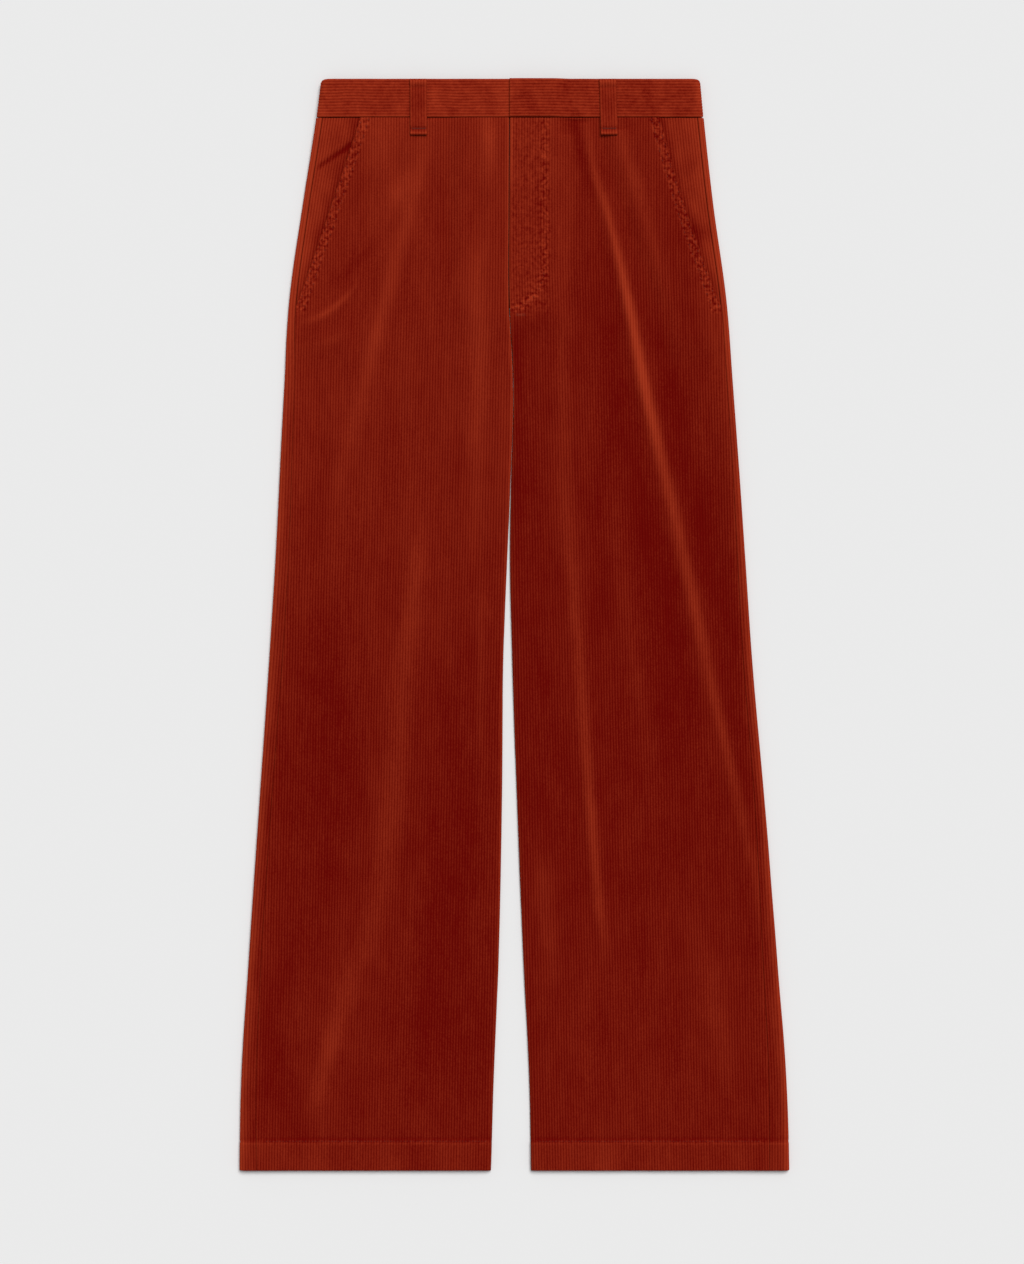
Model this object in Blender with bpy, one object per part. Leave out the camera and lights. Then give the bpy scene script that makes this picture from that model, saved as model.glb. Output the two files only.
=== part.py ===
"""Wide-leg corduroy trousers, laid flat on their back with the front up.

Frame: +Y towards the waist, -Y towards the hems, +Z up, -X the wearer's right.
The cloth rests on z = 0 and the origin is under the middle of the garment.
Every table is in millimetres, measured down from the top edge of the waistband.
Each sewn piece is a wall of cloth: an outer and an inner surface joined round the rim.
"""

import math
from collections import namedtuple

import bmesh
import bpy
import numpy as np

MM = 0.001

# Driving sizes, in millimetres.
LENGTH = 1070.0
CLOTH = 1.6
SEAM_GAP = 0.3
HEM_DEPTH = 28.0
HEM_CLOTH = 3.0

# Waistband: a stiff double layer, folded at the sides, lapped left over right at the front.
BAND_DEPTH = 37.7
BAND_CLOTH = 2.8
BAND_FLOOR = 1.9
BAND_TOP = 8.7
BAND_LAP = 40.0
BAND_LAP_RISE = BAND_CLOTH + 2 * SEAM_GAP
BAND_LAP_SLOPE = 22.0
BAND_ROUND = 1.2
PANEL_TOP = BAND_DEPTH + SEAM_GAP

# The fold at the outer edge of each leg.
FOLD_REACH = 5.0
FOLD_STEPS = 6

# Where the front opens, and where the legs part.
CENTRE = -5.0
FLY_END = 228.0
CROTCH = 330.0
INSEAM_ROLL = 5.0
ROLL_STEPS = 3

# Slanted front pockets.
POCKET_END = 222.0
POCKET_INSET = 37.0
FACING_REACH = 34.0
FACING_END = 245.0
BAG_END = 285.0
BAG_CLOTH = 1.0
BAG_EDGE = 9.0
PAD_RISE = 1.7
PAD_FADE = 18.0
PAD_MARGIN = 12.0

# Fly pieces under the opening.
SHIELD_CLOTH = 1.4
SHIELD_BACK = 10.0
SHIELD_REACH = 40.0
ZIP_WIDTH = 28.0
ZIP_CLOTH = 1.0
ZIP_START = 42.0
ZIP_END = 212.0
FLY_REACH = 44.0
FLY_STEP = 0.8

# Belt loops: folded straps, doubled again where the lower end is tacked down.
LOOP_WIDTH = 16.5
LOOP_CLOTH = 1.6
LOOP_TOP = 0.5
LOOP_END = 55.5
LOOP_TACK = 7.0
LOOP_TACK_RISE = 0.7

# Outline of the garment: outer edges, how far the back wraps onto the front, inner edges.
Outline = namedtuple("Outline", "down right_edge right_wrap left_edge left_wrap right_inner left_inner")
OUTLINE = (
    Outline(0, -189.5, 6, 182.0, 6, -5.0, -4.7),
    Outline(38, -194.3, 6, 185.5, 6, -5.0, -4.7),
    Outline(119, -207.0, 6, 194.5, 6, -5.4, -5.1),
    Outline(222, -221.5, 7, 208.5, 6, -5.2, -4.9),
    Outline(295, -225.5, 10, 214.0, 6, -1.4, -1.1),
    Outline(403, -231.0, 12, 222.0, 7, -4.2, -3.5),
    Outline(471, -234.5, 13, 226.5, 8, -7.1, -4.4),
    Outline(560, -240.0, 13, 232.5, 9, -10.7, -2.4),
    Outline(706, -250.0, 12, 245.3, 10, -12.2, 2.5),
    Outline(853, -260.0, 12, 257.0, 14, -15.2, 8.3),
    Outline(1000, -268.7, 15, 267.8, 18, -21.0, 15.2),
    Outline(LENGTH, -269.7, 17, 269.7, 20, -23.0, 16.2),
)

# Sections of the long pieces.
HIP_SECTIONS = (58, 76, 94, 112, 130, 160, 191, POCKET_END, FACING_END, 265, 285, 312)
LEG_START = 340.0
LEG_SECTIONS = 10
HEM_STEP = 4.0
FRONT_COLUMNS = 20

# Layers: rise of the back off the floor, spare room inside the leg and at its edge, cloth.
Layer = namedtuple("Layer", "down lift loft edge_room cloth")
LAYERS = (
    Layer(0, BAND_FLOOR, 1.8, 1.8, CLOTH),
    Layer(58, BAND_FLOOR, 1.8, 1.8, CLOTH),
    Layer(94, 0.7, 1.8, 1.8, CLOTH),
    Layer(130, 0.0, 1.8, 1.8, CLOTH),
    Layer(250, 0.0, 1.8, 1.9, CLOTH),
    Layer(LEG_START, 0.0, 1.2, 2.4, CLOTH),
    Layer(LENGTH - HEM_DEPTH - HEM_STEP, 0.0, 1.2, 2.4, CLOTH),
    Layer(LENGTH - HEM_DEPTH, 0.0, 0.6, 1.0, HEM_CLOTH),
    Layer(LENGTH, 0.0, 0.6, 1.0, HEM_CLOTH),
)

# Largest folds of the front: a crest from one place to another, bowed sideways.
Fold = namedtuple("Fold", "side x_start down_start x_end down_end bow height half_width")
FOLDS = (
    Fold(1, 74, 50, 227, 740, -6, 2.5, 13),
    Fold(1, 49, 236, 92, 870, -9, 1.4, 11),
    Fold(1, 123, 85, 172, 270, 0, 0.7, 12),
    Fold(1, 196, 800, 221, 965, 0, 0.7, 14),
    Fold(1, 6, 245, 4, 520, 0, -0.7, 9),
    Fold(-1, -83, 50, -181, 455, 0, 1.3, 15),
    Fold(-1, -88, 400, -200, 1025, 30, 1.5, 22),
    Fold(-1, -35, 217, -39, 610, 0, 0.8, 14),
    Fold(-1, -7, 235, -10, 560, 2, 1.2, 8),
)

# Lower edge of the pocket bags: how far in from the outer edge they reach.
Bag = namedtuple("Bag", "down reach")
BAGS = (
    Bag(PANEL_TOP, 125),
    Bag(191, 130),
    Bag(FACING_END, 126),
    Bag(265, 114),
    Bag(BAG_END, 84),
)

# Belt loops: place across the waist, lean of the lower end, and whether on the front.
Loop = namedtuple("Loop", "name x lean front")
LOOPS = (
    Loop("belt_loop_front_right", -94.3, 0.5, True),
    Loop("belt_loop_front_left", 91.2, 1.6, True),
    Loop("belt_loop_side_back_right", -128.0, 0.0, False),
    Loop("belt_loop_side_back_left", 118.0, 0.0, False),
    Loop("belt_loop_centre_back", CENTRE, 0.0, False),
)

CORDUROY = (0.185, 0.014, 0.004)
CORDUROY_BAND = (0.225, 0.020, 0.005)
POCKETING = (0.150, 0.030, 0.016)
ZIP_TAPE = (0.110, 0.014, 0.008)


def clear_scene():
    for obj in list(bpy.data.objects):
        bpy.data.objects.remove(obj, do_unlink=True)


def cloth_material(name, colour, roughness):
    material = bpy.data.materials.new(name)
    material.use_nodes = True
    shader = material.node_tree.nodes["Principled BSDF"]
    shader.inputs["Base Color"].default_value = (*colour, 1.0)
    shader.inputs["Roughness"].default_value = roughness
    shader.inputs["Metallic"].default_value = 0.0
    return material


def column(table, name, down):
    """A column of a table read at any depth, straight between its rows."""
    return float(np.interp(down, [row.down for row in table], [getattr(row, name) for row in table]))


def curve(table, name, down):
    """A column of a table read at any depth, on a smooth curve through its rows."""
    downs = np.array([row.down for row in table], float)
    values = np.array([getattr(row, name) for row in table], float)
    slopes = np.gradient(values, downs)
    row = int(np.clip(np.searchsorted(downs, down) - 1, 0, len(downs) - 2))
    span = downs[row + 1] - downs[row]
    t = (down - downs[row]) / span
    near = (1 + 2 * t) * (1 - t) ** 2 * values[row] + t * (1 - t) ** 2 * span * slopes[row]
    far = t * t * (3 - 2 * t) * values[row + 1] + t * t * (t - 1) * span * slopes[row + 1]
    return float(near + far)


def ease(t):
    """0 below 0, 1 above 1 and a smooth step between."""
    t = min(max(t, 0.0), 1.0)
    return t * t * (3 - 2 * t)


def side_word(side):
    return "right" if side < 0 else "left"


def outer_edge(side, down):
    return curve(OUTLINE, side_word(side) + "_edge", down)


def inner_edge(side, down):
    return curve(OUTLINE, side_word(side) + "_inner", down)


def side_seam(side, down):
    """Where the wrapped edge of the back ends on the front."""
    return outer_edge(side, down) - side * column(OUTLINE, side_word(side) + "_wrap", down)


def front_boundary(side, down):
    """Outer edge of the front: the pocket opening, and below it the side seam."""
    seam = side_seam(side, down) - side * SEAM_GAP
    slant = max(POCKET_END - down, 0.0) / (POCKET_END - PANEL_TOP)
    return seam - side * POCKET_INSET * slant ** 0.85


def fold_height(side, x, down):
    total = 0.0
    for fold in FOLDS:
        if fold.side != side:
            continue
        along = (down - fold.down_start) / (fold.down_end - fold.down_start)
        if not 0.0 < along < 1.0:
            continue
        crest = fold.x_start + along * (fold.x_end - fold.x_start) + 4 * fold.bow * along * (1 - along)
        fade = ease(along / 0.15) * ease((1 - along) / 0.3)
        total += fold.height * fade * math.exp(-(((x - crest) / fold.half_width) ** 2))
    return total


def facing_pad(side, x, down):
    """Rise of the front where the pocket facing lies under it."""
    inboard = side * (front_boundary(side, down) - x) - FACING_REACH - PAD_MARGIN
    return PAD_RISE * (1 - ease(inboard / PAD_FADE)) * (1 - ease((down - FACING_END - 4) / 35))


def fly_pad(side, x, down):
    """Rise of the front over the shield and the zip, a little more on the lapping side."""
    spread = 1 - ease((abs(x - CENTRE) - FLY_REACH) / PAD_FADE)
    rise = PAD_RISE + (FLY_STEP if side > 0 else 0.0)
    return rise * spread * (1 - ease((down - FLY_END) / 35))


def edge_raise(side, x, down):
    """The seam allowances hold the leg's outer edge a little higher than its middle."""
    room = column(LAYERS, "edge_room", down) - column(LAYERS, "loft", down)
    below_pocket = ease((down - FACING_END) / 40)
    return room * below_pocket * (1 - ease(side * (side_seam(side, down) - x) / 25))


def front_top(side, x, down):
    """Height of the front's outer face."""
    level = column(LAYERS, "lift", down) + 2 * column(LAYERS, "cloth", down) + column(LAYERS, "loft", down)
    pads = facing_pad(side, x, down) + fly_pad(side, x, down)
    return level + pads + edge_raise(side, x, down) + fold_height(side, x, down)


def wall(name, outer, inner, material):
    """A closed solid between two grids of points, given as rows of (x, down, z)."""
    outer = np.array(outer, float)
    inner = np.array(inner, float)
    rows, columns = outer.shape[:2]
    mesh = bmesh.new()

    def place(grid):
        return [[mesh.verts.new((x * MM, (LENGTH / 2 - d) * MM, z * MM)) for x, d, z in row] for row in grid]

    top = place(outer)
    bottom = place(inner)
    for r in range(rows - 1):
        for c in range(columns - 1):
            mesh.faces.new((top[r][c], top[r][c + 1], top[r + 1][c + 1], top[r + 1][c]))
            mesh.faces.new((bottom[r][c], bottom[r + 1][c], bottom[r + 1][c + 1], bottom[r][c + 1]))
    rim = [(0, c) for c in range(columns)] + [(r, columns - 1) for r in range(1, rows)]
    rim += [(rows - 1, c) for c in range(columns - 2, -1, -1)] + [(r, 0) for r in range(rows - 2, 0, -1)]
    for (r0, c0), (r1, c1) in zip(rim, rim[1:] + rim[:1]):
        mesh.faces.new((top[r0][c0], bottom[r0][c0], bottom[r1][c1], top[r1][c1]))
    bmesh.ops.recalc_face_normals(mesh, faces=mesh.faces)
    data = bpy.data.meshes.new(name)
    mesh.to_mesh(data)
    mesh.free()
    data.shade_smooth()
    data.set_sharp_from_angle(angle=math.radians(50))
    data.materials.append(material)
    obj = bpy.data.objects.new(name, data)
    bpy.context.scene.collection.objects.link(obj)
    return obj


def stations(first, last):
    """Depths of the sections from first to last: close near the waist and pockets, even down the leg."""
    hem = LENGTH - HEM_DEPTH
    leg = np.linspace(LEG_START, hem - HEM_STEP, LEG_SECTIONS + 1)
    every = [*HIP_SECTIONS, *leg, hem, (hem + LENGTH) / 2, LENGTH]
    return [first, *(down for down in every if first < down < last), last]


def front_panel(side, material):
    outer, inner = [], []
    for down in stations(PANEL_TOP, LENGTH):
        start = front_boundary(side, down)
        end = inner_edge(side, down)
        cloth = column(LAYERS, "cloth", down)
        roll = ease((down - CROTCH) / 35)
        turn = end + side * INSEAM_ROLL
        top_row, under_row = [], []
        for x in np.linspace(start, turn, FRONT_COLUMNS):
            top = front_top(side, x, down)
            top_row.append((x, down, top))
            under_row.append((x, down, top - cloth))
        edge_top = front_top(side, turn, down)
        drop = roll * (edge_top - cloth - SEAM_GAP)
        for step in range(1, ROLL_STEPS + 1):
            angle = 0.5 * math.pi * step / ROLL_STEPS
            across, fall = math.sin(angle), 1 - math.cos(angle)
            x_inner = turn - side * (INSEAM_ROLL - roll * cloth) * across
            top_row.append((turn - side * INSEAM_ROLL * across, down, edge_top - drop * fall))
            under_row.append((x_inner, down, edge_top - cloth - max(drop - roll * cloth, 0.0) * fall))
        outer.append(top_row)
        inner.append(under_row)
    return wall(f"front_{side_word(side)}", outer, inner, material)


def folded_section(side, start, edge, stop, floor, top, cloth, rise=None):
    """A layer from start out to the edge, folded over there, and back in to stop: outer and inner (x, z)."""
    half = (top - floor) / 2
    turn = edge - side * FOLD_REACH
    outer = [(x, floor) for x in np.linspace(start, turn, 5)]
    inner = [(x, floor + cloth) for x, _ in outer]
    for step in range(1, FOLD_STEPS + 1):
        angle = math.pi * step / FOLD_STEPS
        outer.append((turn + side * FOLD_REACH * math.sin(angle), floor + half * (1 - math.cos(angle))))
        reach, drop = FOLD_REACH - cloth, half - cloth
        inner.append((turn + side * reach * math.sin(angle), floor + half - drop * math.cos(angle)))
    count = 2 if rise is None else 16
    for x in np.linspace(turn, stop, count)[1:]:
        up = rise(x) if rise else 0.0
        outer.append((x, top + up))
        inner.append((x, top - cloth + up))
    return outer, inner


def back_panel(side, material):
    outer, inner = [], []
    for down in stations(PANEL_TOP, LENGTH):
        cloth = column(LAYERS, "cloth", down)
        floor = column(LAYERS, "lift", down)
        top = floor + 2 * cloth + column(LAYERS, "edge_room", down)
        section = folded_section(
            side, inner_edge(side, down), outer_edge(side, down), side_seam(side, down), floor, top, cloth
        )
        outer.append([(x, down, z) for x, z in section[0]])
        inner.append([(x, down, z) for x, z in section[1]])
    return wall(f"back_{side_word(side)}", outer, inner, material)


def lap_rise(side, x):
    """The left end of the waistband climbs over the end of the right one."""
    if side < 0:
        return 0.0
    clear = x - (CENTRE + BAND_LAP + BAND_ROUND)
    return BAND_LAP_RISE * (1 - ease(clear / BAND_LAP_SLOPE))


def waistband(side, material):
    outer, inner = [], []
    stop = CENTRE + BAND_LAP if side < 0 else CENTRE + SEAM_GAP
    rows = ((0.0, 0.8), (BAND_ROUND, 0.0), (BAND_DEPTH - BAND_ROUND, 0.0), (BAND_DEPTH, 0.6))
    for down, shrink in rows:
        start = CENTRE + side * SEAM_GAP / 2
        section = folded_section(
            side,
            start,
            outer_edge(side, down) - side * shrink,
            stop,
            BAND_FLOOR + shrink,
            BAND_TOP - shrink,
            BAND_CLOTH - 2 * shrink,
            rise=lambda x: lap_rise(side, x),
        )
        outer.append([(x, down, z) for x, z in section[0]])
        inner.append([(x, down, z) for x, z in section[1]])
    return wall(f"waistband_{side_word(side)}", outer, inner, material)


def flat_piece(name, downs, span, floor, cloth, columns, material):
    """A single layer between the panels: span(down) gives its two ends, floor(x, down) its underside."""
    outer, inner = [], []
    for down in downs:
        low, high = span(down)
        across = np.linspace(low, high, columns)
        outer.append([(x, down, floor(x, down) + cloth) for x in across])
        inner.append([(x, down, floor(x, down)) for x in across])
    return wall(name, outer, inner, material)


def back_face(down):
    """Height of the back panel's inner face."""
    return column(LAYERS, "lift", down) + column(LAYERS, "cloth", down)


def bag_floor(x, down):
    return back_face(down) + SEAM_GAP


def facing_floor(x, down):
    return bag_floor(x, down) + BAG_CLOTH + SEAM_GAP


def zip_floor(x, down):
    return bag_floor(x, down) + SHIELD_CLOTH + SEAM_GAP


def pocket_bag(side, material):
    def span(down):
        edge = outer_edge(side, down)
        return edge - side * BAG_EDGE, edge - side * column(BAGS, "reach", down)

    downs = stations(PANEL_TOP, BAG_END)
    return flat_piece(f"pocket_bag_{side_word(side)}", downs, span, bag_floor, BAG_CLOTH, 5, material)


def pocket_facing(side, material):
    def span(down):
        seam = side_seam(side, down) - side * SEAM_GAP
        return seam, front_boundary(side, down) - side * FACING_REACH

    downs = stations(PANEL_TOP, FACING_END)
    return flat_piece(f"pocket_facing_{side_word(side)}", downs, span, facing_floor, CLOTH, 6, material)


def fly_shield(material):
    def span(down):
        return CENTRE - SHIELD_BACK, CENTRE + SHIELD_REACH

    return flat_piece("fly_shield", stations(PANEL_TOP, POCKET_END), span, bag_floor, SHIELD_CLOTH, 4, material)


def fly_zip(material):
    def span(down):
        return CENTRE + 2 - ZIP_WIDTH / 2, CENTRE + 2 + ZIP_WIDTH / 2

    return flat_piece("fly_zip", stations(ZIP_START, ZIP_END), span, zip_floor, ZIP_CLOTH, 3, material)


def front_loop_floor(x, down):
    """Underside of a front loop: on the band, then stepping down onto the panel."""
    side = -1 if x < CENTRE else 1
    across = np.linspace(x - 0.6 * LOOP_WIDTH, x + 0.6 * LOOP_WIDTH, 7)
    panel = max(front_top(side, place, max(down, PANEL_TOP)) for place in across)
    step = ease((down - BAND_DEPTH) / 6)
    return SEAM_GAP + BAND_TOP + step * (panel - BAND_TOP)


def back_loop_floor(x, down):
    return 0.0


def belt_loop(loop, material):
    downs = (LOOP_TOP, 12, 25, BAND_DEPTH, 41, 44, LOOP_END - LOOP_TACK, LOOP_END - LOOP_TACK + 1, LOOP_END)
    floor = front_loop_floor if loop.front else back_loop_floor
    outer, inner = [], []
    for down in downs:
        middle = loop.x + loop.lean * down / LOOP_END
        under = floor(middle, down)
        tack = LOOP_TACK_RISE if loop.front and down > LOOP_END - LOOP_TACK else 0.0
        across = np.linspace(middle - LOOP_WIDTH / 2, middle + LOOP_WIDTH / 2, 3)
        outer.append([(x, down, under + LOOP_CLOTH + tack) for x in across])
        inner.append([(x, down, under) for x in across])
    return wall(loop.name, outer, inner, material)


def build():
    clear_scene()
    corduroy = cloth_material("corduroy", CORDUROY, 0.85)
    band = cloth_material("corduroy_band", CORDUROY_BAND, 0.85)
    pocketing = cloth_material("pocketing", POCKETING, 0.9)
    tape = cloth_material("zip_tape", ZIP_TAPE, 0.7)
    for side in (-1, 1):
        front_panel(side, corduroy)
        back_panel(side, corduroy)
        waistband(side, band)
        pocket_bag(side, pocketing)
        pocket_facing(side, corduroy)
    fly_shield(corduroy)
    fly_zip(tape)
    for loop in LOOPS:
        belt_loop(loop, band)


build()
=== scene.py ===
"""Wide-leg corduroy trousers laid flat: the looks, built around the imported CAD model.

Tables and lengths are in millimetres, measured down from the waistband's top edge and
across from the middle of the garment. Side -1 is the wearer's right, +1 the wearer's left.
Every cloth piece is a thin closed shell: a fine outer face whose columns follow the wales
of the corduroy, a coarser inner face, and rims that are pinched round.
"""

import math
from collections import namedtuple

import bpy
import numpy as np
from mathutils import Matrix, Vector


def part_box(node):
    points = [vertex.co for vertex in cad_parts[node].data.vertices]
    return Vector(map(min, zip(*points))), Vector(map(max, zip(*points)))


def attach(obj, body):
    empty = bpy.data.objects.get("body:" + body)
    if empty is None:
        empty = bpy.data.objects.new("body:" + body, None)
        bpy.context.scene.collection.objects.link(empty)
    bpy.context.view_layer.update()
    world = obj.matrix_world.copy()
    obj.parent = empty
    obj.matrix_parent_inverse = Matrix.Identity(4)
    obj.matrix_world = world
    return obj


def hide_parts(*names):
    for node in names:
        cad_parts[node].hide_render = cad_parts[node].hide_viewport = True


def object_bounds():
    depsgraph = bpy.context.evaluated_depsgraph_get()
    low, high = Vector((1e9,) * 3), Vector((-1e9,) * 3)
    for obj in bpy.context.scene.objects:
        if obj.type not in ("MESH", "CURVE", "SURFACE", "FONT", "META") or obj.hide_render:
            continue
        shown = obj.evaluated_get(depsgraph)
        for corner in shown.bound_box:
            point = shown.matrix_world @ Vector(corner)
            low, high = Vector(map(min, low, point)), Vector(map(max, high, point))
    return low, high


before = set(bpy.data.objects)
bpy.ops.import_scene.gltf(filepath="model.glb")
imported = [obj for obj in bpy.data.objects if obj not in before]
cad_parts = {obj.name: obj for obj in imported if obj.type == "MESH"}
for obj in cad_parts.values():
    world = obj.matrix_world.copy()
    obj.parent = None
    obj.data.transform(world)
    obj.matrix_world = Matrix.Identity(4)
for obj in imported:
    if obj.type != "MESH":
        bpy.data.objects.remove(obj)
CAD_LOW, CAD_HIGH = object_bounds()

MM = 0.001


def node_box(node):
    """Lowest and highest corner of a CAD node, in millimetres."""
    low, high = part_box(node)
    return np.array(low) / MM, np.array(high) / MM


# Sizes read from the frame.
LENGTH = (CAD_HIGH[1] - CAD_LOW[1]) / MM
BAND_LOW, BAND_HIGH = node_box("waistband_right")
BAND_DEPTH = BAND_HIGH[1] - BAND_LOW[1]
BAND_FLOOR = BAND_LOW[2]
BAND_TOP = BAND_HIGH[2]
CENTRE = (node_box("belt_loop_centre_back")[0][0] + node_box("belt_loop_centre_back")[1][0]) / 2
BAND_LAP = BAND_HIGH[0] - CENTRE

# Cloth.
CLOTH = 1.6
HEM_CLOTH = 3.0
BAND_CLOTH = 2.8
SEAM_GAP = 0.3
HEM_DEPTH = 28.0
HEM_LINE = LENGTH - HEM_DEPTH
HEM_STEP = 3.0
PANEL_TOP = BAND_DEPTH + SEAM_GAP

# Wales: the cords of the corduroy, a narrow groove and a wide round crown.
WALE = 2.7
BAND_WALE = BAND_DEPTH / 13
WALE_HEIGHT = 0.42
WALE_CROWN = 0.1
WALE_PROFILE = ((0.0, 0.0), (0.17, 0.7), (0.5, 1.0), (0.83, 0.7))
WALE_LEAN = math.tan(math.radians(1.1))
LEAN_START = 180.0

# Folds of the cloth at the edges of the legs.
FOLD_REACH = 6.0
INSEAM_ROLL = 5.5
EDGE_ROLL = 1.7
CROTCH = 330.0

# Fly.
FLY_END = 228.0
FLY_GAP = 0.22
FLY_REACH = 44.0
FLY_STEP = 0.8
J_ACROSS = 33.4
J_START = 180.0
J_DROP = 44.7

# Slanted pockets.
POCKET_END = 222.0
POCKET_INSET = 37.0
FACING_REACH = 34.0
OPENING_GAP = 0.05
FACING_END = 245.0
BAG_CLOTH = 1.0
PAD_RISE = 1.7
PAD_MARGIN = 12.0
PAD_FADE = 18.0
POCKET_STITCHES = (2.4, 8.6)

Outline = namedtuple("Outline", "down right_edge right_wrap left_edge left_wrap right_inner left_inner")
OUTLINE = (
    Outline(0, -189.5, 6, 182.0, 6, -5.0, -4.7),
    Outline(38, -194.3, 6, 185.5, 6, -5.0, -4.7),
    Outline(119, -207.0, 6, 194.5, 6, -5.4, -5.1),
    Outline(222, -221.5, 7, 208.5, 6, -5.2, -4.9),
    Outline(295, -225.5, 10, 214.0, 6, -1.4, -1.1),
    Outline(403, -231.0, 12, 222.0, 7, -4.2, -3.5),
    Outline(471, -234.5, 13, 226.5, 8, -7.1, -4.4),
    Outline(560, -240.0, 13, 232.5, 9, -10.7, -2.4),
    Outline(706, -250.0, 12, 245.3, 10, -12.2, 2.5),
    Outline(853, -260.0, 12, 257.0, 14, -15.2, 8.3),
    Outline(1000, -268.7, 15, 267.8, 18, -21.0, 15.2),
    Outline(LENGTH, -269.7, 17, 269.7, 20, -23.0, 16.2),
)

Layer = namedtuple("Layer", "down lift loft edge_room cloth")
LAYERS = (
    Layer(0, BAND_FLOOR, 1.8, 1.8, CLOTH),
    Layer(58, BAND_FLOOR, 1.8, 1.8, CLOTH),
    Layer(94, 0.7, 1.8, 1.8, CLOTH),
    Layer(130, 0.0, 1.8, 1.8, CLOTH),
    Layer(250, 0.0, 1.8, 1.9, CLOTH),
    Layer(340, 0.0, 1.2, 2.4, CLOTH),
    Layer(HEM_LINE - HEM_STEP, 0.0, 1.2, 2.4, CLOTH),
    Layer(HEM_LINE, 0.0, 0.6, 1.0, HEM_CLOTH),
    Layer(LENGTH, 0.0, 0.6, 1.0, HEM_CLOTH),
)

# Painted sheen and shade of the pile down each leg, as a level: 0 is deep red, 1 is bright orange.
Shade = namedtuple("Shade", "down right left")
SHADES = (
    Shade(40, 0.34, 0.24),
    Shade(120, 0.26, 0.14),
    Shade(300, 0.22, 0.10),
    Shade(450, 0.18, 0.06),
    Shade(600, 0.10, 0.04),
    Shade(750, 0.08, 0.05),
    Shade(900, 0.11, 0.10),
    Shade(LENGTH, 0.10, 0.12),
)
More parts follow.
